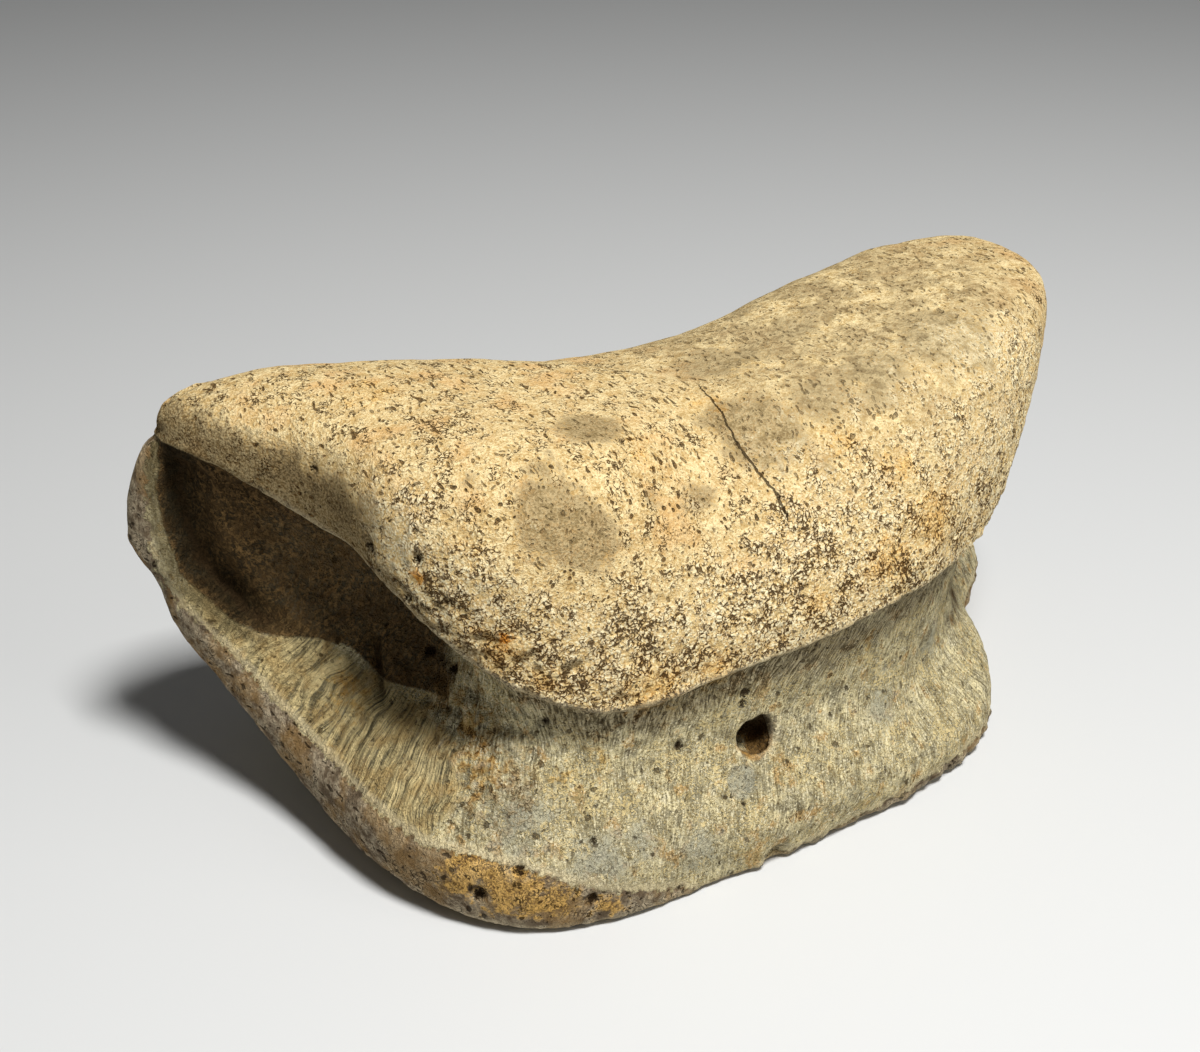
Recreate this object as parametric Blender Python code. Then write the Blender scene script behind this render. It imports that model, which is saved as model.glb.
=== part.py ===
# Fossil toe bone of a dinosaur, standing on its proximal joint end.
#
# Frame: +X runs along the roller of the distal joint, -Y is the near (front) face, +Z is up.
# The origin is the middle of the bounding box, on the floor.  Sizes below are millimetres.
#
# The bone is one closed skin.  Five level lines go round it, from the foot it stands on to the
# lip of the roller, and each is a rounded rectangle with named swellings.  The skin is drawn
# between the level lines: a shallow dish below, a rounded rim, a flared wall, an overhanging
# lip, and the saddle-shaped roller on top.

import bpy
import bmesh
import numpy as np
from math import radians
from mathutils import Matrix, Vector, noise

MM = 0.001

# --- how finely the skin is divided ---
SPOKES = 108
SPOKE_CROWDING = 0.2     # spokes stand closer together round the two ends
DISH_RINGS = 4
RIM_RINGS = 4
WALL_RINGS = 9
UNDERCUT_RINGS = 5
SHOULDER_RINGS = 7
ROLLER_RINGS = 11

# --- directions round the bone: degrees anticlockwise from +X, and how far a swelling spreads ---
DIRECTION = dict(
    right=(2, 14),
    spur=(11, 9),
    back_right=(23, 11),
    back=(90, 30),
    back_left=(156, 12),
    left=(184, 22),
    front_left=(218, 20),
    front=(255, 30),
    front_right=(331, 15),
)
LIFT_SPREAD = 1.4      # a level line rises more gently than it swells

# --- the plan widens towards the back by this share for each millimetre ---
SPLAY = 0.0046

# --- the level lines ---
FOOT = dict(
    half_width=50.0, half_depth=31.5, squareness=3.2, height=0.0,
    swell=dict(spur=9, back_right=4, back_left=1, left=-0.5, front_left=6.5, front=3.5, front_right=1.5),
    lift=dict(back_left=15.5, left=2),
)
RIM = dict(
    half_width=53.5, half_depth=34.0, squareness=3.2, height=6.0,
    swell=dict(spur=9, back_right=8, back_left=8, left=0.5, front_left=5, front=1.5, front_right=-0.5),
    lift=dict(spur=-1, back_left=20, left=4, front_left=1, front_right=-1),
)
WAIST = dict(
    half_width=48.0, half_depth=28.0, squareness=2.8, height=18.5,
    swell=dict(right=-3, back_right=17, back_left=22.5, left=-14, front_left=3, front=1, front_right=-2),
    lift=dict(right=6, back_right=8, back=3, back_left=12, left=12, front_left=2, front_right=-3),
)
LIP = dict(
    half_width=55.5, half_depth=30.7, squareness=3.0, height=27.2,
    swell=dict(right=9, back_right=8, back_left=9, left=-7.5, front_left=1, front_right=-3),
    lift=dict(right=26, back_right=16, back=8, back_left=14, left=18, front_left=-4, front=2, front_right=1.5),
)

# --- the roller: a groove between two condyles ---
GROOVE_HEIGHT = 56.0
LEFT_CONDYLE_HEIGHT = 59.8
RIGHT_CONDYLE_HEIGHT = 61.0
LEFT_CONDYLE_AT = 46.0
RIGHT_CONDYLE_AT = 62.0
FACE_ROUNDNESS = 2.2     # exponent of the shoulder over the front and back
END_ROUNDNESS = 5.2      # exponent of the shoulder over the two ends
ROLLER_BACKSET = -4.0    # the top of the roller leans to the front

# --- the joint surface underneath, and the flat bearing band it stands on ---
DISH_DEPTH = 6.5
BEARING_BAND = 0.93
LEVEL_TRIM = 0.4

# --- slow unevenness of the skin: size of the lumps and their height ---
LUMPS = ((19.0, 0.55), (8.5, 0.3))

# --- nutrient foramen in the front wall ---
FORAMEN_AT = (-2.5, -28.6, 16.0)
FORAMEN_WIDTH = 3.7
FORAMEN_HEIGHT = 5.6
FORAMEN_DEPTH = 11.0
FORAMEN_TILT = 24.0


def swelling(turn, name, amount, spread=1.0):
    centre, width = DIRECTION[name]
    away = (turn - radians(centre) + np.pi) % (2 * np.pi) - np.pi
    return amount * np.exp(-(away / radians(width * spread)) ** 2)


def level_line(turn, level):
    """Radius and height of one level line in every direction."""
    across = np.abs(np.cos(turn)) / level["half_width"]
    deep = np.abs(np.sin(turn)) / level["half_depth"]
    n = level["squareness"]
    radius = (across ** n + deep ** n) ** (-1.0 / n)
    for name, amount in level["swell"].items():
        radius = radius + swelling(turn, name, amount)
    height = np.full_like(turn, level["height"])
    for name, amount in level["lift"].items():
        height = height + swelling(turn, name, amount, LIFT_SPREAD)
    return radius, height


def crest_height(x):
    """Height of the roller's ridge line: lowest in the groove, highest on the condyles."""
    left = 0.5 * (1 - np.cos(np.pi * np.clip(-x / LEFT_CONDYLE_AT, 0, 1.3)))
    right = 0.5 * (1 - np.cos(np.pi * np.clip(x / RIGHT_CONDYLE_AT, 0, 1.3)))
    rise = (LEFT_CONDYLE_HEIGHT - GROOVE_HEIGHT) * left + (RIGHT_CONDYLE_HEIGHT - GROOVE_HEIGHT) * right
    return GROOVE_HEIGHT + rise


def bone_rings():
    """All rings of the skin, bottom to top, as an array of ring x spoke x coordinate."""
    even = np.arange(SPOKES) * 2 * np.pi / SPOKES
    turn = even - SPOKE_CROWDING * np.sin(2 * even)
    foot_r, foot_z = level_line(turn, FOOT)
    foot_z = np.maximum(foot_z - LEVEL_TRIM, 0.0)
    rim_r, rim_z = level_line(turn, RIM)
    waist_r, waist_z = level_line(turn, WAIST)
    lip_r, lip_z = level_line(turn, LIP)
    cos, sin = np.cos(turn), np.sin(turn)
    rings = []

    def add(radius, height):
        rings.append(np.stack([radius * cos, radius * sin, height], axis=1))

    for i in range(1, DISH_RINGS + 1):
        s = i / DISH_RINGS
        add(foot_r * BEARING_BAND * s, foot_z * s * s + DISH_DEPTH * (1 - s * s))
    add(foot_r, foot_z)
    for i in range(1, RIM_RINGS + 1):
        t = i / RIM_RINGS * np.pi / 2
        add(foot_r + (rim_r - foot_r) * np.sin(t), rim_z + (foot_z - rim_z) * np.cos(t))
    for i in range(1, WALL_RINGS + 1):
        t = i / WALL_RINGS
        flare = 0.5 * (1 + np.cos(np.pi * t ** 0.8))
        add(waist_r + (rim_r - waist_r) * flare, rim_z + (waist_z - rim_z) * t)
    for i in range(1, UNDERCUT_RINGS + 1):
        t = i / UNDERCUT_RINGS
        overhang = 1 - np.cos(t * np.pi / 2)
        bow = (1 - np.cos(t * np.pi / 3)) * 2
        out = np.where(lip_r > waist_r, overhang, bow)
        up = np.where(lip_r > waist_r, np.sin(t * np.pi / 2), np.sin(t * np.pi / 3) / np.sin(np.pi / 3))
        add(waist_r + (lip_r - waist_r) * out, waist_z + (lip_z - waist_z) * up)

    power = FACE_ROUNDNESS + (END_ROUNDNESS - FACE_ROUNDNESS) * cos ** 4
    half_way = 0.5 ** (1 / power)
    shares = []
    for i in range(1, SHOULDER_RINGS + 1):
        t = np.pi / 2 * (1 - 0.5 * i / SHOULDER_RINGS)
        shares.append(np.sin(t) ** (2 / power))
    for i in range(1, ROLLER_RINGS):
        shares.append(half_way * (1 - i / ROLLER_RINGS))
    for share in shares:
        up = (1 - np.minimum(share, 1.0) ** power) ** (1 / power)
        x = lip_r * share * cos
        y = lip_r * share * sin + ROLLER_BACKSET * (1 - share)
        rings.append(np.stack([x, y, lip_z + (crest_height(x) - lip_z) * up], axis=1))

    rings = np.array(rings)
    rings[:, :, 0] *= 1 + SPLAY * rings[:, :, 1]
    return rings


def roughen(rings):
    """Push the skin in and out by slow lumps; the bearing band and the dish stay smooth."""
    middle = Vector((0.0, 0.0, 30.0))
    for i in range(DISH_RINGS + 2, rings.shape[0]):
        for j in range(SPOKES):
            p = Vector(rings[i, j])
            push = 0.0
            for k, (size, amount) in enumerate(LUMPS):
                push += amount * noise.noise(p / size + Vector((11.3 * k, 4.7, 2.1)))
            away = (p - middle).normalized()
            rings[i, j] = p + away * push


def build_skin(rings):
    """One closed mesh from the rings, closed by a fan of triangles at each end."""
    bm = bmesh.new()
    rows = [[bm.verts.new(Vector(p) * MM) for p in ring] for ring in rings]
    below = bm.verts.new(Vector((0.0, 0.0, DISH_DEPTH)) * MM)
    top = rings[-1].mean(axis=0)
    above = bm.verts.new(Vector((top[0], top[1], top[2] + 0.05)) * MM)
    for j in range(SPOKES):
        k = (j + 1) % SPOKES
        bm.faces.new((below, rows[0][k], rows[0][j]))
        bm.faces.new((above, rows[-1][j], rows[-1][k]))
        for low, high in zip(rows[:-1], rows[1:]):
            bm.faces.new((low[j], low[k], high[k], high[j]))
    bmesh.ops.triangulate(bm, faces=bm.faces[:], quad_method='BEAUTY', ngon_method='BEAUTY')
    bmesh.ops.recalc_face_normals(bm, faces=bm.faces[:])
    return bm


for obj in list(bpy.data.objects):
    bpy.data.objects.remove(obj, do_unlink=True)

rings = bone_rings()
roughen(rings)
low = rings.reshape(-1, 3).min(axis=0)
high = rings.reshape(-1, 3).max(axis=0)
centre = np.array([(low[0] + high[0]) / 2, (low[1] + high[1]) / 2, 0.0])

bm = build_skin(rings - centre)
mesh = bpy.data.meshes.new("toe_bone")
bm.to_mesh(mesh)
bm.free()
bone = bpy.data.objects.new("toe_bone", mesh)
bpy.context.scene.collection.objects.link(bone)

# The foramen is an oval hole that runs up and back into the wall.
cut = bpy.data.meshes.new("foramen_cut")
bm = bmesh.new()
bmesh.ops.create_uvsphere(bm, u_segments=16, v_segments=10, radius=0.5 * MM)
bm.transform(Matrix.Diagonal((FORAMEN_WIDTH, FORAMEN_HEIGHT, FORAMEN_DEPTH, 1.0)))
bm.transform(Matrix.Rotation(radians(90.0 - FORAMEN_TILT), 4, 'X'))
bm.to_mesh(cut)
bm.free()
cutter = bpy.data.objects.new("foramen_cut", cut)
cutter.location = (Vector(FORAMEN_AT) - Vector(centre)) * MM
cutter.hide_render = True
cutter.display_type = 'WIRE'
bpy.context.scene.collection.objects.link(cutter)
hole = bone.modifiers.new("foramen", 'BOOLEAN')
hole.operation = 'DIFFERENCE'
hole.solver = 'EXACT'
hole.object = cutter

# Petrified bone: matt, warm tan.
stone = bpy.data.materials.new("petrified_bone")
stone.use_nodes = True
shader = stone.node_tree.nodes["Principled BSDF"]
shader.inputs["Base Color"].default_value = (0.42, 0.31, 0.17, 1.0)
shader.inputs["Roughness"].default_value = 0.78
shader.inputs["Metallic"].default_value = 0.0
mesh.materials.append(stone)
mesh.shade_smooth()
mesh.set_sharp_from_angle(angle=radians(50.0))
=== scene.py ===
from math import radians

import bpy
import numpy as np
from mathutils import Euler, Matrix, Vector, noise


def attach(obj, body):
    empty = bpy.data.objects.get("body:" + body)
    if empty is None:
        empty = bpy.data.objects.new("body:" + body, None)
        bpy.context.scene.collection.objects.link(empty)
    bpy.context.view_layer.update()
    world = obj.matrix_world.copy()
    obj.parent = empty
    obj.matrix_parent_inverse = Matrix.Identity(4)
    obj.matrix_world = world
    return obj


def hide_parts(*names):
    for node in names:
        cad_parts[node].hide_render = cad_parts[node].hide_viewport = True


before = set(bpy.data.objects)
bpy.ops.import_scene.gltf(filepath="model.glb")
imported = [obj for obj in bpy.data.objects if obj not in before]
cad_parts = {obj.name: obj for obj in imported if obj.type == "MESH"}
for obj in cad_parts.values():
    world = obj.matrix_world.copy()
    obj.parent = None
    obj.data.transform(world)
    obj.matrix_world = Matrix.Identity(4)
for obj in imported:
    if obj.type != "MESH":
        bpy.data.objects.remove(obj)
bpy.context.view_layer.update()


# THE TABLE
# A wide, plain, pale sheet under the bone, matt and nearly white.
# It is only what the bone is shown on, so it is staged.

bpy.ops.object.select_all(action='DESELECT')
bpy.ops.mesh.primitive_plane_add(size=6.0, location=(0.0, 0.0, -0.0001))
table = bpy.context.object
table.name = "table"
table.data.name = "table"

paper = bpy.data.materials.new("pale_paper")
paper.use_nodes = True
paper.node_tree.nodes["Principled BSDF"].inputs["Base Color"].default_value = (0.65, 0.66, 0.66, 1.0)
paper.node_tree.nodes["Principled BSDF"].inputs["Roughness"].default_value = 0.6
table.data.materials.append(paper)


# THE CAMERA AND THE LIGHT
# The camera looks down on the bone's left front corner from a forearm's length away.
# A small soft lamp hangs above the front, a wider one fills in from the right, and the room gives the rest.

CAMERA_AT = Vector((-0.1114, -0.1888, 0.1505))
CAMERA_HEADING = 62.01      # degrees from +X towards +Y
CAMERA_PITCH = 28.18        # degrees below level
PIXELS_WIDE, PIXELS_HIGH = 1200, 1052
FOCUS_PIXELS = 1800.0

eye = bpy.data.cameras.new("eye")
eye.sensor_width = 36.0
eye.lens = 36.0 * FOCUS_PIXELS / PIXELS_WIDE
eye.clip_start = 0.01
camera = bpy.data.objects.new("eye", eye)
camera.location = CAMERA_AT
camera.rotation_euler = Euler((radians(90 - CAMERA_PITCH), 0.0, radians(CAMERA_HEADING - 90)))
bpy.context.scene.collection.objects.link(camera)
bpy.context.scene.camera = camera


def add_lamp(name, place, target, size, watts, colour):
    """A square soft lamp that faces its target."""
    lamp = bpy.data.lights.new(name, 'AREA')
    lamp.size = size
    lamp.energy = watts
    lamp.color = colour
    holder = bpy.data.objects.new(name, lamp)
    holder.location = place
    holder.rotation_euler = (Vector(target) - Vector(place)).to_track_quat('-Z', 'Y').to_euler()
    bpy.context.scene.collection.objects.link(holder)


add_lamp("overhead_lamp", (0.00, -0.23, 0.58), (0.0, 0.0, 0.03), 0.13, 4.75, (1.0, 0.99, 0.975))
add_lamp("front_fill", (0.34, -0.50, 0.36), (0.0, 0.0, 0.03), 0.4, 0.7, (1.0, 0.99, 0.97))

room = bpy.data.worlds.new("room")
room.use_nodes = True
room.node_tree.nodes["Background"].inputs["Color"].default_value = (1.0, 1.0, 1.0, 1.0)
room.node_tree.nodes["Background"].inputs["Strength"].default_value = 0.08
bpy.context.scene.world = room
bpy.context.scene.view_settings.view_transform = 'Standard'


# THE BONE
# One piece of petrified bone: a dense skin over a spongy core, worn through on the joint faces.
# The fine skin starts as a copy of the plain solid and is then smoothed, divided and carved.

SKIN_GRAIN = 0.00065        # metres between the skin's points

bone = bpy.data.objects.new("bone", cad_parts["toe_bone"].data.copy())
bone.data.name = "bone"
bpy.context.scene.collection.objects.link(bone)
bpy.ops.object.select_all(action='DESELECT')
bone.select_set(True)
bpy.context.view_layer.objects.active = bone
bpy.ops.object.mode_set(mode='EDIT')
bpy.ops.mesh.select_all(action='SELECT')
bpy.ops.mesh.customdata_custom_splitnormals_clear()
bpy.ops.mesh.remove_doubles(threshold=0.00002)
bpy.ops.mesh.tris_convert_to_quads(face_threshold=radians(50), shape_threshold=radians(60))
bpy.ops.object.mode_set(mode='OBJECT')


def finish_with(kind, **settings):
    """Adds a modifier to the bone and applies it."""
    modifier = bone.modifiers.new(kind.lower(), kind)
    for name, value in settings.items():
        setattr(modifier, name, value)
    bpy.ops.object.modifier_apply(modifier=modifier.name)


finish_with('SUBSURF', levels=2, render_levels=2)
finish_with('REMESH', mode='VOXEL', voxel_size=SKIN_GRAIN)
finish_with('SMOOTH', factor=0.5, iterations=5)


# The level lines of the bone, in millimetres: how high the roller's lip and the rim's crest stand in
# each direction round it.  They say where one kind of surface ends and the next begins.

AXIS_AT = (1.176, -0.840)      # the axis of the directions, from the middle of the box
SPLAY = 0.0046
DIRECTION = dict(
    right=(2, 14), spur=(11, 9), back_right=(23, 11), back=(90, 30), back_left=(156, 12),
    left=(184, 22), front_left=(218, 20), front=(255, 30), front_right=(331, 15),
)
LIP_HEIGHT = 27.2
LIP_LIFT = dict(right=26, back_right=16, back=8, back_left=14, left=18, front_left=-4, front=2, front_right=1.5)
RIM_HEIGHT = 6.0
RIM_LIFT = dict(spur=-1, back_left=20, left=4, front_left=1, front_right=-1)


def near_direction(turn, centre, width):
    away = (turn - radians(centre) + np.pi) % (2 * np.pi) - np.pi
    return np.exp(-(away / radians(width)) ** 2)


def lifted(turn, height, lifts):
    return height + sum(amount * near_direction(turn, DIRECTION[name][0], DIRECTION[name][1] * 1.4)
                        for name, amount in lifts.items())


def smooth(value, low, high):
    share = np.clip((value - low) / (high - low), 0, 1)
    return share * share * (3 - 2 * share)


def read_skin(what):
    flat = np.empty(len(bone.data.vertices) * 3)
    bone.data.vertices.foreach_get(what, flat)
    return flat.reshape(-1, 3)


def round_the_axis(places):
    """The direction and distance from the axis of each place, in radians and millimetres."""
    y = places[..., 1] + AXIS_AT[1]
    x = (places[..., 0] + AXIS_AT[0]) / (1 + SPLAY * y)
    return np.arctan2(y, x), np.hypot(x, y)


def move_skin():
    bone.data.vertices.foreach_set("co", (points / 1000).ravel())
    bone.data.update()
    bpy.context.view_layer.update()


points = read_skin("co") * 1000
normals = read_skin("normal")
turn, reach = round_the_axis(points)
over_top = np.minimum(points[:, 2] - 40, 26 - reach)
above_lip = np.maximum(points[:, 2] - lifted(turn, LIP_HEIGHT, LIP_LIFT), over_top)
above_rim = points[:, 2] - lifted(turn, RIM_HEIGHT, RIM_LIFT)


# Marks that are seen in the photograph's view are placed by where they show there, in its pixels: on the
# skin that lies behind a pixel, or by how far to the side of a drawn line each point of the skin shows.

CAMERA_TURN = np.array(camera.rotation_euler.to_matrix())


def seen_at(places):
    """Where places show in the photograph, in its pixels, and how far off they are, in millimetres."""
    local = (places - np.array(CAMERA_AT) * 1000) @ CAMERA_TURN
    scale = FOCUS_PIXELS / -local[:, 2]
    return np.stack([PIXELS_WIDE / 2 + local[:, 0] * scale, PIXELS_HIGH / 2 - local[:, 1] * scale], axis=1), scale


def beside_line(marks):
    """How far each point shows from a drawn line, in millimetres: above 0 on its left going down the page."""
    knots = np.array(marks, dtype=float)
    nearest = np.full(len(points), 1e9)
    side = np.zeros(len(points))
    for a, b in zip(knots, knots[1:]):
        run = b - a
        share = np.clip(((seen - a) @ run) / (run @ run), 0, 1)
        gap = seen - a - np.outer(share, run)
        distance = np.hypot(gap[:, 0], gap[:, 1])
        closer = distance < nearest
        nearest[closer] = distance[closer]
        side[closer] = np.sign(run[0] * gap[closer, 1] - run[1] * gap[closer, 0])
    return nearest * side / scale


# At both ends the lip runs straighter than the level line: how far up it lies, in millimetres, by the
# pixel column where it shows.  The pit is deepest right behind the left ridge.
LIP_RUN_LEFT = (
    (150, 2.4), (180, 1.8), (213, 0.6), (250, -2.0), (293, -3.7), (324, -3.3), (353, -1.8), (400, -0.6),
    (450, 0.0),
)
LIP_RUN_RIGHT = ((740, 0.0), (796, 0.7), (828, 1.5), (865, 2.6), (903, 3.6), (935, 3.2), (960, 1.4), (985, 0.0))
# The lower edge of the left pit's felted floor.
PIT_EDGE = (
    (158, 436), (154, 491), (161, 525), (178, 574), (208, 601), (231, 622), (265, 636), (317, 640), (351, 650),
    (384, 682), (420, 692), (450, 700), (480, 705),
)
GROOVE_DEPTH = 3.2
# Where marks at the left end stop, in pixel columns: gone right of the first, whole left of the second.
GROOVE_ENDS = (300, 215)
PIT_ENDS = (470, 430)
PIT_SHADE_ENDS = (320, 230)
RIDGE_SHADE_ENDS = (300, 230)
LIP_SHADE_ENDS = (420, 330)


def towards_camera():
    """1 where the skin faces the camera, 0 where it faces away."""
    return smooth(-((points - np.array(CAMERA_AT) * 1000) * normals).sum(axis=1), 0, 30)


seen, scale = seen_at(points)
facing = towards_camera()
left_end = smooth(np.cos(turn - radians(192)), 0.60, 0.82)
right_front = smooth(np.cos(turn - radians(322)), 0.50, 0.80)
pull = left_end * np.interp(seen[:, 0], *np.array(LIP_RUN_LEFT).T)
pull += right_front * np.interp(seen[:, 0], *np.array(LIP_RUN_RIGHT).T)
pull *= np.exp(-(above_lip / 7) ** 2) * smooth(reach, 22, 36) * smooth(points[:, 2], 54, 44)
inward = -beside_line(PIT_EDGE)
behind_ridge = smooth(inward, 0.2, 1.8) * smooth(inward, 8.0, 2.5) * smooth(seen[:, 0], *GROOVE_ENDS)
behind_ridge *= facing * left_end * smooth(above_lip, -1.5, -4.0)
points[:, 2] += pull
points -= normals * (GROOVE_DEPTH * behind_ridge)[:, None]
move_skin()
points = read_skin("co") * 1000
normals = read_skin("normal")
seen, scale = seen_at(points)
facing = towards_camera()
# Skin that faces the bone's middle or is tucked under the lip: it belongs to a pit, never to the outer rim.
inner_side = smooth(-(normals[:, 0] * np.cos(turn) + normals[:, 1] * np.sin(turn)), -0.4, 0.0)
tucked_in = smooth(-normals[:, 2], -0.05, 0.1) * smooth(above_lip, -8, -5) * smooth(points[:, 2], 15, 20)
inner_side = np.maximum(inner_side, tucked_in)
z = points[:, 2]


def on_skin(across, down):
    """The point of the skin behind a pixel of the photograph, in millimetres."""
    ray = Vector(((across - PIXELS_WIDE / 2) / FOCUS_PIXELS, (PIXELS_HIGH / 2 - down) / FOCUS_PIXELS, -1.0))
    ray.rotate(camera.rotation_euler)
    hit, place, normal, face = bone.ray_cast(CAMERA_AT, ray.normalized())
    return np.array(place) * 1000


def from_mark(across, down):
    return np.linalg.norm(points - on_skin(across, down), axis=1)


def from_line(*marks):
    """Distance from each point to a line through marks, and how far along the line it lies, 0 to 1."""
    nearest = np.full(len(points), 1e9)
    along = np.zeros(len(points))
    knots = [on_skin(*mark) for mark in marks]
    for step, (a, b) in enumerate(zip(knots, knots[1:])):
        share = np.clip(((points - a) @ (b - a)) / ((b - a) @ (b - a)), 0, 1)
        distance = np.linalg.norm(points - a - np.outer(share, b - a), axis=1)
        closer = distance < nearest
        along[closer] = (step + share[closer]) / (len(knots) - 1)
        nearest[closer] = distance[closer]
    return nearest, along


# The worn band round the rim: its upper edge in the photograph, from the left pit to its end in front.
BAND_EDGE = (
    (158, 436), (149, 470), (148, 520), (158, 570), (180, 603), (213, 636), (248, 670), (272, 698), (303, 731),
    (333, 761), (360, 794), (399, 827), (426, 845), (460, 853), (500, 862), (560, 880), (610, 891), (690, 888),
    (720, 892),
)
round_turn = np.degrees(turn) % 360
shown = smooth(round_turn, 140, 150) * smooth(round_turn, 262, 255)
drawn = np.where(np.maximum(facing, inner_side) > 0.02, -beside_line(BAND_EDGE), -3.0)
thin_rim = z - 0.9 - 1.8 * near_direction(turn, 320, 26)
above_band = shown * drawn + (1 - shown) * np.where(round_turn > 200, thin_rim, above_rim + 0.5)

# How far each point belongs to a region: 1 inside, 0 outside.
roller = smooth(above_lip, -0.6, 0.6)
sole = smooth(-normals[:, 2], 0.55, 0.8) * (1 - smooth(z, 3.0, 6.0))
band = (1 - smooth(above_band, -0.4, 0.4)) * (1 - sole)
wall = (1 - roller) * (1 - band) * (1 - sole)
inward = -beside_line(PIT_EDGE)
left_pit = smooth(inward, -0.2, 0.8) * left_end * (1 - roller) * smooth(seen[:, 0], *PIT_ENDS)
left_pit *= np.maximum(smooth(facing, 0, 0.2), inner_side)
# Painted shade: the pit is painted darkest right behind the left ridge, and the ridge's inner side is painted
# darker than the wall too.
pit_shade = smooth(inward, 0.0, 1.2) * smooth(inward, 8.0, 2.0) * smooth(seen[:, 0], *PIT_SHADE_ENDS) * left_end
ridge_shade = smooth(inward, -2.6, -0.4) * left_end * smooth(seen[:, 0], *RIDGE_SHADE_ENDS)
FLARE_LINE = ((222, 640), (262, 672), (300, 700), (350, 735), (400, 780))
POCKED_LINE = ((455, 700), (475, 740), (500, 790))
left_flare = wall * smooth(from_line(*FLARE_LINE)[0], 10.5, 6.0)
pocked = wall * smooth(from_line(*POCKED_LINE)[0], 7.0, 3.0)
right_pit = wall * near_direction(turn, 0, 22)
front_lip = roller * smooth(above_lip, 24 + 12 * right_front, 6) * smooth(-points[:, 1], 2, 16)


def noise_at(places, size, shift=0.0):
    """Perlin noise, -1 to 1, over an array of places; size is the pattern's grain in millimetres."""
    return np.array([noise.noise(Vector(place)) for place in places / size + shift])


# The grain of the skin: fibres run from the roller down the wall and fan out to the rim, leaning over to
# the right on the front and to the left on the left flare.  Even steps of it are even steps round the rim.
RIM_HALF = (53.5, 34)          # half the rim's width and depth, in millimetres
SQUARENESS = 3.2               # 2 is an ellipse, more is squarer
sweep = np.linspace(-np.pi, np.pi, 721)
wide, deep = np.abs(np.cos(sweep)) / RIM_HALF[0], np.abs(np.sin(sweep)) / RIM_HALF[1]
rim_reach = (wide ** SQUARENESS + deep ** SQUARENESS) ** (-1 / SQUARENESS)
steps = np.hypot(np.diff(rim_reach * np.cos(sweep)), np.diff(rim_reach * np.sin(sweep)))
girth = np.concatenate([[0], np.cumsum(steps)])
lean = 13 * near_direction(turn, 285, 40) - 8 * near_direction(turn, 200, 26)
girth_angle = (np.interp(turn, sweep, girth) - lean * (z - 16) / 20) / girth[-1] * 2 * np.pi
ring = girth[-1] / (2 * np.pi)
sway = noise_at(points, 6.0, 3.1) * 1.4 + noise_at(points, 2.6, 9.7) * 0.45
girth_angle += sway / ring
grain = np.stack([ring * np.cos(girth_angle), ring * np.sin(girth_angle), 0.20 * z + 0.07 * reach], axis=1)

# Carving, in millimetres along the skin's normal.
crumb = noise_at(points, 2.2, 4.0)
fine_crumb = noise_at(points, 1.25, 6.0)
ropes = noise_at(grain, 1.25)
carve = 0.32 * noise_at(points, 11.0) + 0.16 * noise_at(points, 4.5, 5.0)
carve += left_flare * (0.30 * ropes + 0.12 * fine_crumb) + pocked * (0.45 * fine_crumb + 0.3 * crumb)
carve += wall * (1 - left_flare) * (0.12 * ropes + 0.12 * fine_crumb + 0.10 * crumb)
carve += left_pit * (0.12 * crumb + 0.10 * fine_crumb)
carve += (0.05 * roller + 0.20 * front_lip) * (crumb + 0.8 * fine_crumb)
carve -= front_lip * 0.35 * smooth(crumb, 0.12, 0.5)
carve += band * ((0.50 * crumb + 0.36 * fine_crumb) * (1 - 0.75 * left_end) + 0.40)
carve += 0.24 * np.exp(-((above_lip - 0.5) / 0.6) ** 2)
carve -= wall * 0.30 * np.exp(-((above_lip + 1.0) / 0.9) ** 2)
carve += wall * 0.25 * np.exp(-((above_band - 0.9) / 0.8) ** 2)

# Single holes: pixel of the photograph, radius and depth in millimetres.
HOLES = (
    (679, 746, 0.6, 0.8), (544, 723, 0.6, 0.7), (370, 546, 0.7, 0.8), (416, 532, 0.4, 0.5),
    (418, 560, 0.6, 0.7), (408, 598, 0.5, 0.6), (314, 468, 0.5, 0.5), (497, 600, 0.5, 0.5),
    (745, 692, 0.7, 0.5), (593, 840, 0.5, 0.5), (480, 892, 0.9, 0.9), (593, 897, 0.8, 0.7),
    (747, 757, 0.4, 0.4), (748, 767, 0.4, 0.4), (744, 804, 0.5, 0.5), (731, 796, 0.3, 0.4),
    (430, 650, 0.8, 0.8), (455, 668, 0.7, 0.7), (520, 870, 0.8, 0.8), (742, 703, 0.6, 0.4),
)
for across, down, radius, depth in HOLES:
    carve -= depth * smooth(from_mark(across, down), radius * 1.5, radius * 0.5)

# A chip out of the front of the rim, the crevice where the left pit meets the front wall, and the crack
# across the roller.
CHIP_AT = (775, 856)
CREVICE = ((377, 640), (377, 660), (379, 680), (384, 715))
carve -= 1.3 * smooth(from_mark(*CHIP_AT), 2.3, 0.8)
crevice, along = from_line(*CREVICE)
carve -= 1.2 * np.exp(-(crevice / 0.6) ** 2) * smooth(along, 1.0, 0.5)
CRACK = ((700, 386), (722, 413), (735, 440), (757, 470), (775, 490), (788, 517))
near_crack, along_crack = from_line(*CRACK)
beside_crack = beside_line(CRACK)
carve -= 0.35 * np.exp(-(near_crack / 0.5) ** 2) * smooth(along_crack, 0.3, 0.9)

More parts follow.
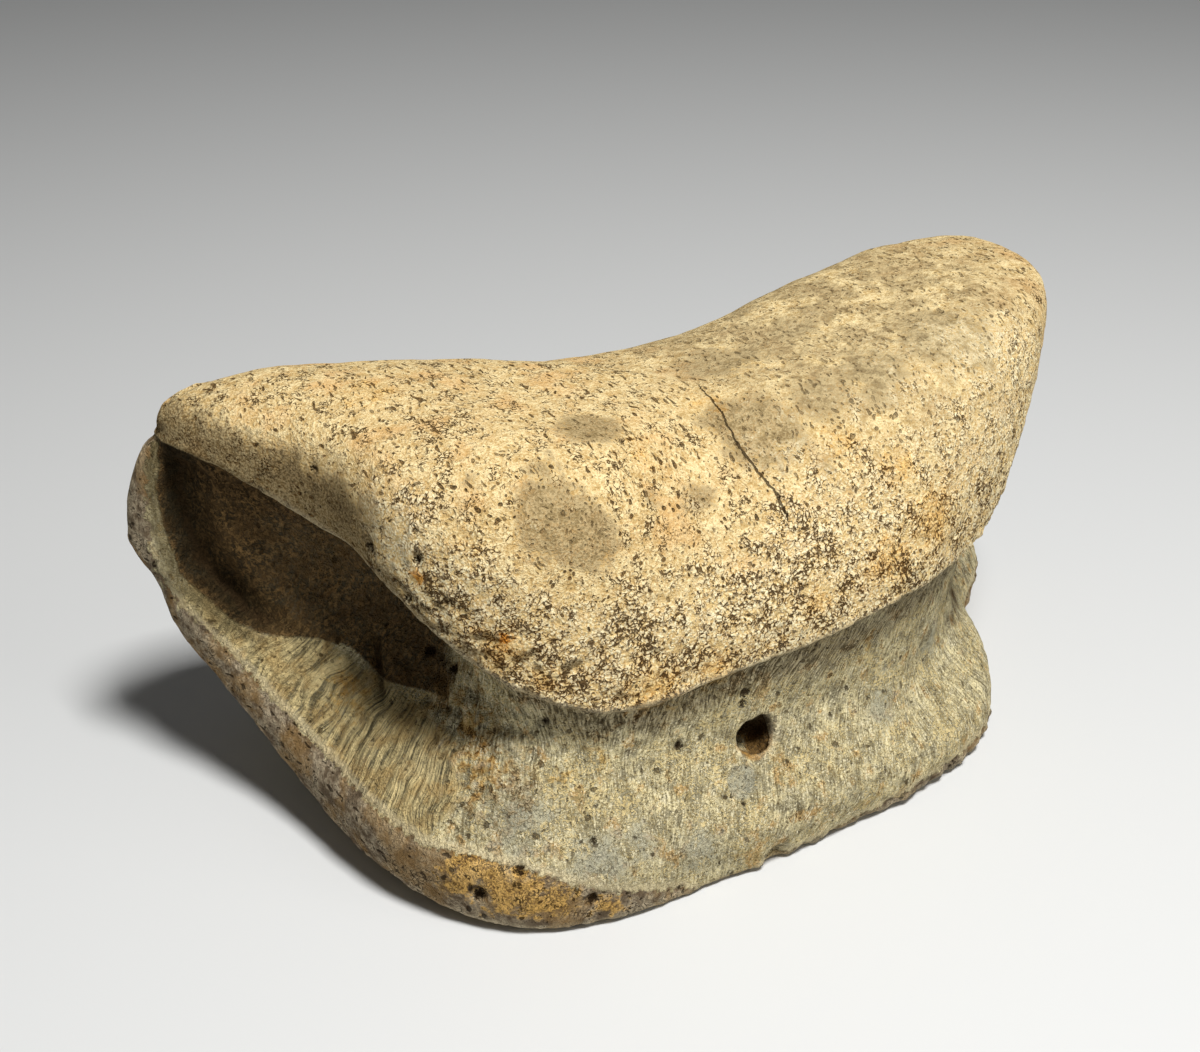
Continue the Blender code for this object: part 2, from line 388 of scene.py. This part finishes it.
# The foramen, the opening for a blood vessel in the front wall: a leaning oval that slopes in from below.
FORAMEN_MIDDLE = np.array((758.0, 736.0))
FORAMEN_LEAN = radians(22)
FORAMEN_HALF = (14.5, 21.5)    # half its width and half its height, in pixels
FORAMEN_LIT_FLOOR = (731, 740)     # the pixel rows between which its pale floor, painted as lit, sets in
FRONT_WALL = -12               # what lies further forward than this, in millimetres, is the front wall
from_middle = seen - FORAMEN_MIDDLE
oval = np.hypot(
    (from_middle[:, 0] * np.cos(FORAMEN_LEAN) + from_middle[:, 1] * np.sin(FORAMEN_LEAN)) / FORAMEN_HALF[0],
    (from_middle[:, 1] * np.cos(FORAMEN_LEAN) - from_middle[:, 0] * np.sin(FORAMEN_LEAN)) / FORAMEN_HALF[1],
)
oval[(facing < 0.02) | (points[:, 1] > FRONT_WALL)] = 9.0
carve -= 1.5 * smooth(oval, 1.1, 0.7)
carve *= 1 - 0.7 * sole
points = points + normals * carve[:, None]

# The hole itself is cleared out to its true width.
FORAMEN_AT = (-3.68, 16.0)     # across and up, from the middle of the box
across, up = points[:, 0] - FORAMEN_AT[0], points[:, 2] - FORAMEN_AT[1]
from_foramen = np.hypot(across, up / 1.45)
widen = 0.8 * np.exp(-(from_foramen / 2.4) ** 2) * (points[:, 1] < FRONT_WALL) / np.maximum(from_foramen, 0.3)
points[:, 0] += across * widen
points[:, 2] += np.minimum(up, 0) * -0.35 * np.exp(-(from_foramen / 3.0) ** 2) * (points[:, 1] < FRONT_WALL)
points[:, 2] = np.maximum(points[:, 2], 0.0)
move_skin()
bpy.ops.object.shade_smooth()

# Hollows: how far a point lies under the mean of its neighbours, in tenths of a millimetre.
edges = np.empty(len(bone.data.edges) * 2, dtype=np.int32)
bone.data.edges.foreach_get("vertices", edges)
edges = edges.reshape(-1, 2)
neighbours = np.bincount(edges.ravel(), minlength=len(points))
normals = read_skin("normal")
mean = points
for _ in range(5):
    total = np.zeros_like(mean)
    np.add.at(total, edges[:, 0], mean[edges[:, 1]])
    np.add.at(total, edges[:, 1], mean[edges[:, 0]])
    mean = total / neighbours[:, None]
hollow = ((mean - points) * normals).sum(axis=1) * 10

# Soft stains: pixel of the photograph, radius in millimetres and strength.
GREY_PATCHES = (
    (590, 428, 3.0, 1.7), (556, 518, 4.2, 1.5), (584, 536, 3.6, 1.5), (758, 432, 5.0, 1.5), (725, 420, 4.0, 1.3),
    (955, 335, 8.0, 1.2), (880, 375, 9.0, 0.8), (820, 400, 8.0, 0.7), (700, 500, 4.5, 0.7), (545, 468, 5.0, 0.7),
    (730, 362, 9.0, 0.8),
    (290, 466, 3.4, 1.1), (315, 483, 3.6, 1.1), (340, 498, 4.2, 1.2), (368, 520, 4.2, 1.2), (395, 543, 3.4, 1.1),
    (650, 500, 2.5, 0.6), (830, 470, 4.0, 0.6), (470, 480, 3.0, 0.5), (800, 330, 7.0, 0.6),
)
OCHRE_PATCHES = (
    (500, 648, 4.5, 0.9), (545, 680, 3.0, 0.8), (655, 690, 5.5, 0.9), (720, 670, 5.0, 0.8), (935, 520, 7.0, 0.9),
    (890, 560, 6.0, 0.8), (820, 600, 5.0, 0.6), (465, 720, 4.5, 0.8), (478, 770, 4.5, 0.8), (560, 780, 4.0, 0.5),
    (350, 690, 6.0, 0.6), (700, 400, 9.0, 0.4), (370, 390, 9.0, 0.45), (470, 540, 6.0, 0.4), (640, 450, 8.0, 0.4),
    (600, 760, 3.0, 0.5), (870, 640, 4.0, 0.5), (840, 440, 7.0, 0.5), (900, 470, 7.0, 0.5),
)
RUST_PATCHES = (
    (485, 866, 4.5, 1.2), (515, 885, 5.5, 1.2), (460, 880, 4.0, 1.0), (555, 898, 5.0, 0.9), (417, 578, 1.3, 1.0),
    (505, 640, 1.8, 0.9), (610, 905, 5.0, 0.6),
)
BLUE_PATCHES = (
    (520, 820, 7.0, 0.8), (600, 862, 6.0, 0.9), (743, 781, 1.3, 2.0), (640, 840, 5.0, 0.7), (430, 760, 6.0, 0.8),
    (700, 850, 6.0, 0.7), (880, 700, 7.0, 0.6), (930, 640, 5.0, 0.7), (360, 770, 6.0, 0.6), (800, 640, 4.0, 0.6),
)


def patches(places):
    each = [strength - from_mark(across, down) / radius for across, down, radius, strength in places]
    return np.max(each, axis=0)


def keep_field(name, values):
    """Stores a number for each point of the skin, for the material to read."""
    layer = bone.data.attributes.new(name, 'FLOAT', 'POINT')
    layer.data.foreach_set("value", np.ascontiguousarray(values, dtype=np.float32))


# The roller is rubbed smooth round one place, at its right end.
POLISHED_AT = (840, 315)
# Distance to the nearest single hole, in its own radii.
holes = np.min([from_mark(across, down) / radius for across, down, radius, depth in HOLES], axis=0)
keep_field("above_lip", above_lip)
keep_field("above_band", above_band)
keep_field("sole", sole)
keep_field("pit", np.maximum(left_pit, right_pit * smooth(above_rim, 4, 12)))
keep_field("flare", left_flare)
keep_field("pocked", pocked)
keep_field("front_lip", front_lip)
keep_field("wear", 1 - 0.8 * smooth(from_mark(*POLISHED_AT), 42, 14))
keep_field("pit_shade", pit_shade)
keep_field("ridge_shade", ridge_shade)
# Painted shade on the left lip: along its rounded edge, mixed with brown mottling, and on skin that faces down
# under the overhang.
under_edge = smooth(-normals[:, 2], 0.0, 0.25)
lip_shade = smooth(above_lip, 8.5, 2.5) * smooth(seen[:, 0], *LIP_SHADE_ENDS) * facing
keep_field("lip_shade", left_end * np.maximum(lip_shade, 1.4 * under_edge))
keep_field("hollow", hollow)
keep_field("grey_patch", patches(GREY_PATCHES))
keep_field("ochre_patch", patches(OCHRE_PATCHES))
keep_field("rust_patch", patches(RUST_PATCHES))
keep_field("blue_patch", patches(BLUE_PATCHES))
keep_field("crack", beside_crack)
keep_field("crack_width", smooth(near_crack, 1.3, 0.8) * (0.06 + 0.11 * along_crack))
keep_field("foramen", np.minimum(np.where(points[:, 1] < FRONT_WALL, from_foramen / 1.9, 9.0), oval))
keep_field("foramen_lit_floor", smooth(seen_at(points)[0][:, 1], *FORAMEN_LIT_FLOOR))
keep_field("holes", holes)
layer = bone.data.attributes.new("grain", 'FLOAT_VECTOR', 'POINT')
layer.data.foreach_set("vector", grain.astype(np.float32).ravel())


# The finish: petrified bone, dry and matt, its colours set by minerals, with painted shade in the pits, along the
# left ridge and lip, under the front lip, inside the foramen and in hollows, and painted highlight on bumps.
# The roller is warm tan with open pores, the wall is paler and greener with fine fibres, and the rim is worn down
# to brown sponge.

petrified = bpy.data.materials.new("petrified_bone")
petrified.use_nodes = True
tree = petrified.node_tree
for node in list(tree.nodes):
    tree.nodes.remove(node)


class Wire:
    """A shader socket that Python can do sums with; every sum adds its Math node."""

    def __init__(self, socket):
        self.socket = socket

    @staticmethod
    def node(kind, settings=None, sockets=None, out=0):
        made = tree.nodes.new("ShaderNode" + kind)
        for name, value in (settings or {}).items():
            setattr(made, name, value)
        for name, value in (sockets or {}).items():
            if isinstance(name, int):
                socket = made.inputs[name]
            else:
                socket = next(s for s in made.inputs if s.name == name and s.enabled)
            if isinstance(value, Wire):
                tree.links.new(value.socket, socket)
            else:
                socket.default_value = value
        if out is None:
            return None
        if isinstance(out, int):
            return Wire(made.outputs[out])
        return Wire(next(s for s in made.outputs if s.name == out and s.enabled))

    @staticmethod
    def maths(operation, *values):
        return Wire.node("Math", {"operation": operation}, dict(enumerate(values)))

    def __add__(self, other):
        return Wire.maths('ADD', self, other)

    def __radd__(self, other):
        return Wire.maths('ADD', other, self)

    def __sub__(self, other):
        return Wire.maths('SUBTRACT', self, other)

    def __rsub__(self, other):
        return Wire.maths('SUBTRACT', other, self)

    def __mul__(self, other):
        return Wire.maths('MULTIPLY', self, other)

    def __rmul__(self, other):
        return Wire.maths('MULTIPLY', other, self)

    def __abs__(self):
        return Wire.maths('ABSOLUTE', self)

    def between(self, low, high):
        """0 at low, 1 at high, with a soft start and end; low may be the larger."""
        sockets = {"Value": self, "From Min": low, "From Max": high, "To Min": 0.0, "To Max": 1.0}
        return Wire.node("MapRange", {"interpolation_type": 'SMOOTHSTEP'}, sockets)

    def twin(self, name):
        """Another output of the same node."""
        return Wire(self.socket.node.outputs[name])


def field(name):
    return Wire.node("Attribute", {"attribute_name": name}, None, "Fac")


def colour(red, green, blue):
    """A colour from its everyday 0 to 255 values."""
    def linear(v):
        v = v / 255
        return v / 12.92 if v <= 0.04045 else ((v + 0.055) / 1.055) ** 2.4
    return (linear(red), linear(green), linear(blue), 1.0)


def blend(first, second, share, way='MIX'):
    return Wire.node("Mix", {"data_type": 'RGBA', "blend_type": way},
                     {"Factor": share, "A": first, "B": second}, "Result")


def larger(a, b):
    return Wire.maths('MAXIMUM', a, b)


place = Wire.node("TexCoord", None, None, "Object")
place = Wire.node("VectorMath", {"operation": 'SCALE'}, {0: place, "Scale": 1000.0})
fibre = Wire.node("Attribute", {"attribute_name": "grain"}, None, "Vector")


def cloud(size, detail=2.0, rough=0.5, at=None, twist=0.0, shift=None):
    """Soft noise, 0 to 1, with a grain of the given size in millimetres."""
    vector = at or place
    if shift:
        vector = Wire.node("VectorMath", {"operation": 'ADD'}, {0: vector, 1: shift})
    sockets = {"Vector": vector, "Scale": 1.0 / size, "Detail": detail, "Roughness": rough, "Distortion": twist}
    return Wire.node("TexNoise", None, sockets, "Fac")


grit = cloud(0.30, 2.0, 0.6)
drift = cloud(2.2, 1.0).twin("Color")
drift = Wire.node("VectorMath", {"operation": 'SCALE'}, {0: drift, "Scale": 1.8})
drifted = Wire.node("VectorMath", {"operation": 'ADD'}, {0: place, 1: drift})


def pores(size, widest, stretch, turned, shift):
    """Open pores, 1 inside: one in each cell of the given size, up to the widest radius, in millimetres."""
    sockets = {"Vector": drifted, "Location": shift, "Rotation": turned, "Scale": stretch}
    vector = Wire.node("Mapping", None, sockets)
    cell = Wire.node("TexVoronoi", {"feature": 'F1'}, {"Vector": vector, "Scale": 1.0 / size}, "Distance")
    luck = cell.twin("Color")
    luck = Wire.node("SeparateColor", None, {0: luck}, 0)
    radius = (luck * luck * widest + 0.02) * (1.0 / size) + (grit - 0.5) * 0.35
    return (radius - cell).between(-0.04, 0.05)


mottle = cloud(1.3, 5.0, 0.66)
blotch = cloud(6.5, 4.0, 0.6)
cluster = cloud(3.2, 3.0, 0.6, shift=(9.0, 4.0, 7.0))
curl = cloud(0.66, 2.0, 0.5, twist=0.3, shift=(2.0, 5.0, 1.0))
threads = cloud(0.34, 3.0, 0.66, at=fibre)
strands = cloud(0.48, 4.0, 0.66, at=fibre, shift=(4.0, 4.0, 4.0))
splash = cloud(2.4, 5.0, 0.7, shift=(3.0, 8.0, 2.0))
slits = pores(0.78, 0.26, (1.0, 0.27, 1.0), (radians(30), radians(20), radians(28)), (0.0, 0.0, 0.0))
pricks = pores(0.55, 0.18, (1.0, 0.4, 1.0), (radians(30), radians(20), radians(28)), (5.0, 3.0, 1.0))
dots = pores(1.7, 0.42, (1.0, 1.0, 0.75), (0.0, 0.0, 0.0), (9.0, 2.0, 4.0))
off_curl = abs(curl - 0.5)

above_lip_w = field("above_lip")
above_band_w = field("above_band")
on_roller = (above_lip_w + (mottle - 0.5) * 0.8).between(-0.2, 0.2)
off_roller = 1 - on_roller
on_sole = field("sole")
on_band = (above_band_w + (mottle - 0.5) * 4.0 + (grit - 0.5) * 0.8).between(0.2, -0.2)
on_band = on_band * (1 - on_sole) * (1 - on_roller)
lip_w = field("front_lip")
hollow_w = field("hollow")

# The roller.
light_share = (mottle * 0.55 + grit * 0.45).between(0.38, 0.60)
roller_colour = blend(colour(196, 165, 108), colour(243, 223, 172), light_share)
roller_colour = blend(roller_colour, colour(222, 172, 108), blotch.between(0.50, 0.66) * 0.45)
roller_colour = blend(roller_colour, colour(160, 128, 80), (grit * 0.5 + mottle * 0.5).between(0.42, 0.34) * 0.55)
grey_share = field("grey_patch") + (mottle - 0.5) * 2.2 + (blotch - 0.5) * 1.6 + (grit - 0.5) * 0.8
grey_share = grey_share.between(0.10, 0.55)
grey_colour = blend(colour(124, 106, 72), colour(178, 156, 114), (grit * 0.5 + mottle * 0.5).between(0.4, 0.6))
roller_colour = blend(roller_colour, grey_colour, grey_share * 0.88)
wear = field("wear")
tired = blend(colour(140, 123, 90), colour(192, 173, 130), mottle.between(0.40, 0.58))
tired_share = (1.06 - wear) * (blotch * 0.6 + cluster * 0.4).between(0.38, 0.56)
roller_colour = blend(roller_colour, tired, tired_share)

# Towards the front lip the skin is worn through: cream crumbs with brown and dark curls between them.
sponge = blend(colour(234, 205, 144), colour(255, 246, 208), (mottle * 0.5 + grit * 0.5).between(0.42, 0.58))
sponge_share = (lip_w * 1.2 + (cluster - 0.5) * 2.0 - 0.2).between(0.0, 0.9)
roller_colour = blend(roller_colour, sponge, sponge_share * 0.8)
smooth_share = grey_share * 0.4
worn = (mottle - 0.5) * 0.24 + (cluster - 0.5) * 0.26 + lip_w * 0.030 + (wear - 1) * 0.04 - smooth_share * 0.08
curls = (worn - 0.008 - off_curl).between(-0.012, 0.024)
halo = (worn + 0.05 - off_curl).between(-0.05, 0.06)
roller_colour = blend(roller_colour, colour(176, 132, 70), halo * (0.36 + lip_w * 0.26))
# The left lip's edge and underside: brown mottling with painted shade.
lip_shade = (field("lip_shade") + (mottle - 0.5) * 1.8).between(0.1, 0.7)
lip_shade_colour = blend(colour(70, 56, 36), colour(140, 120, 84), grit.between(0.4, 0.6))
roller_colour = blend(roller_colour, lip_shade_colour, lip_shade * 0.75)
slits = slits * (1 - smooth_share) * (wear * 0.6 + 0.4)
open_pores = larger(larger(slits, pricks * 0.7 * (1 - smooth_share * 0.6)), curls)
pale_pores = grit.between(0.42, 0.60) * (1.1 - lip_w * 0.5)
pore_colour = blend(colour(46, 31, 16), colour(116, 88, 50), pale_pores)
roller_colour = blend(roller_colour, pore_colour, open_pores * 0.92)

# The wall.
under_lip = (above_lip_w + (mottle - 0.5) * 6.0 + (threads - 0.5) * 3.0).between(-7.5, -3.0)
under_lip = under_lip * blotch.between(0.25, 0.5)
wall_grain = threads * (0.35 + 0.3 * under_lip) + grit * (0.4 - 0.3 * under_lip) + mottle * 0.25
wall_ground = splash * 0.4 + mottle * 0.35 + grit * 0.25
wall_colour = blend(colour(143, 135, 108), colour(230, 216, 169), wall_ground.between(0.45, 0.55))
wall_colour = blend(wall_colour, colour(186, 142, 76), (splash * 0.5 + cluster * 0.5).between(0.53, 0.60) * 0.7)
wall_colour = blend(wall_colour, colour(92, 78, 50), wall_grain.between(0.51, 0.58) * 0.8)
wall_colour = blend(wall_colour, colour(248, 236, 196), wall_grain.between(0.48, 0.42) * 0.75)
veins = (0.035 - off_curl + (blotch - 0.5) * 0.3).between(-0.01, 0.03)
wall_colour = blend(wall_colour, colour(232, 208, 146), veins * 0.6)
blue_share = (field("blue_patch") + (splash - 0.5) * 3.0 + (mottle - 0.5) * 1.6).between(0.05, 0.6)
blue = blend(colour(124, 126, 118), colour(180, 180, 160), threads.between(0.4, 0.6))
wall_colour = blend(wall_colour, blue, blue_share * 0.6)
lip_shadow = blend(colour(160, 146, 116), colour(78, 68, 52), threads.between(0.42, 0.58))
wall_colour = blend(wall_colour, lip_shadow, under_lip * 0.7)

# The flare under the left pit is drawn out in wavy threads, and the pit itself is brown and felted, its felt
# partly painted darker than its own brown as shade.
flare_w = field("flare")
flare_threads = strands * 0.6 + threads * 0.25 + mottle * 0.15
flare = blend(colour(96, 88, 62), colour(230, 208, 150), flare_threads.between(0.40, 0.58))
flare = blend(flare, colour(178, 142, 80), cluster.between(0.42, 0.60) * 0.5)
flare = blend(flare, colour(48, 38, 25), (strands * 0.5 + grit * 0.5).between(0.44, 0.36) * 0.8)
wall_colour = blend(wall_colour, flare, (flare_w + (cluster - 0.5) * 0.8).between(0.2, 0.7) * 0.85)
pit_share = (field("pit") + (cluster - 0.5) * 0.8 + (strands - 0.5) * 0.5).between(0.2, 0.7)
felt_threads = curl * 0.35 + grit * 0.35 + threads * 0.3
felt = blend(colour(38, 28, 18), colour(134, 104, 64), felt_threads.between(0.42, 0.62))
felt = blend(felt, colour(92, 70, 44), cluster.between(0.42, 0.6) * 0.5)
# painted shade: the felt goes near black right behind the left ridge
felt = blend(felt, colour(16, 12, 8), field("pit_shade") * 0.88)
ridge_shade = field("ridge_shade")
# painted shade on the left ridge's inner side
wall_colour = blend(wall_colour, colour(104, 92, 62), ridge_shade * 0.75)
wall_colour = blend(wall_colour, felt, pit_share * 0.92)
pocks = field("pocked")
pock_share = (pocks + (cluster - 0.5) * 1.2).between(0.2, 0.8) * mottle.between(0.46, 0.58)
wall_colour = blend(wall_colour, colour(164, 130, 78), pock_share * 0.5)
wall_pores = larger(dots * 0.9, pricks * (0.55 + 0.45 * under_lip))
wall_pores = larger(wall_pores, curls * (0.45 + 0.55 * larger(pocks, under_lip)))
wall_colour = blend(wall_colour, colour(60, 46, 28), wall_pores * 0.8)

# The rim's worn band, and the joint face underneath.
band_colour = blend(colour(112, 96, 76), colour(188, 172, 144), (mottle * 0.6 + cluster * 0.4).between(0.42, 0.58))
band_colour = blend(band_colour, colour(168, 132, 78), blotch.between(0.46, 0.6) * 0.5)
rust_share = (field("rust_patch") + (mottle - 0.5) * 2.6 + (splash - 0.5) * 1.5).between(0.1, 0.6)
rust = blend(colour(104, 74, 38), colour(228, 182, 100), (mottle * 0.5 + grit * 0.5).between(0.38, 0.58))
band_colour = blend(band_colour, rust, rust_share * 0.85)
band_pores = larger(larger(dots, slits), curls)
band_colour = blend(band_colour, colour(44, 32, 20), band_pores * 0.85)
sole_colour = blend(colour(142, 116, 78), colour(200, 176, 128), mottle.between(0.4, 0.62))
sole_colour = blend(sole_colour, colour(60, 44, 26), larger(slits, pricks * 0.6) * 0.8)

skin = blend(wall_colour, roller_colour, on_roller)
skin = blend(skin, band_colour, on_band)
skin = blend(skin, sole_colour, on_sole)
ochre_share = (field("ochre_patch") + (mottle - 0.5) * 3.2 + (splash - 0.5) * 1.6).between(0.05, 0.7)
skin = blend(skin, (0.93, 0.72, 0.42, 1.0), ochre_share * 0.8, 'MULTIPLY')
skin = blend(skin, (0.95, 0.55, 0.16, 1.0), rust_share * on_roller * 0.9, 'MULTIPLY')
edge_height_w = above_lip_w + (mottle - 0.5) * 0.8
edge_line = edge_height_w.between(-0.45, -0.1) * edge_height_w.between(0.55, 0.15)
skin = blend(skin, colour(222, 204, 164), edge_line * (0.55 - lip_shade * 0.4) * (1 - field("pit_shade")))
crest_height_w = above_band_w + (mottle - 0.5) * 1.6
crest_line = crest_height_w.between(-0.1, 0.3) * crest_height_w.between(1.5, 0.5) * off_roller
skin = blend(skin, colour(228, 212, 170), crest_line * (0.6 - ridge_shade * 0.6))
crack_line = (abs(field("crack") + (mottle - 0.5) * 0.9) - field("crack_width")).between(0.05, -0.06)
skin = blend(skin, colour(56, 42, 26), crack_line * 0.85)
# Inside the foramen: painted shade under its top, and a lower floor of ochre painted as lit.
inside = field("foramen").between(1.08, 0.92)
foramen_lit_floor = field("foramen_lit_floor") * (mottle * 0.5 + grit * 0.5).between(0.36, 0.56)
foramen_shade_and_lit_floor = blend(colour(50, 35, 20), colour(176, 134, 72), foramen_lit_floor)
skin = blend(skin, foramen_shade_and_lit_floor, inside * 0.9)
hole_share = (field("holes") + (grit - 0.5) * 2.4 + (mottle - 0.5) * 3.0).between(0.9, 0.5)
skin = blend(skin, colour(44, 31, 18), hole_share * 0.9)
# Painted shade in the hollows, and a painted highlight on the bumps.
skin = blend(skin, colour(66, 50, 32), hollow_w.between(0.6, 4.0) * 0.6)
bump_highlight = hollow_w.between(-0.6, -3.0) * (1 - larger(pit_share, ridge_shade))
skin = blend(skin, colour(244, 230, 194), bump_highlight * 0.25)

# Height of the finest relief, in millimetres.
relief = grit * 0.18 + mottle * 0.42 - open_pores * on_roller * 0.42
relief = relief + on_roller * sponge_share * curl * 0.30
relief = relief - off_roller * (threads * (0.24 + flare_w * 0.10) + wall_pores * 0.28) + off_roller * veins * 0.12
relief = relief + off_roller * (flare_w * strands * 0.55 + pocks * mottle * 0.5)
relief = relief + off_roller * pit_share * curl * 0.35
relief = relief + on_band * (0.3 - band_pores * 0.4) - crack_line * 0.35 - hole_share * 0.5
bump = Wire.node("Bump", None, {"Height": relief, "Strength": 1.0, "Distance": 0.0014}, "Normal")

roughness = 0.72 - smooth_share * on_roller * 0.14 + open_pores * 0.12
shader = Wire.node("BsdfPrincipled", None, {
    "Base Color": skin, "Roughness": roughness, "Specular IOR Level": 0.02, "Normal": bump,
}, "BSDF")
Wire.node("OutputMaterial", None, {"Surface": shader}, None)

bone.data.materials.clear()
bone.data.materials.append(petrified)
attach(bone, "root")
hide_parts("toe_bone")
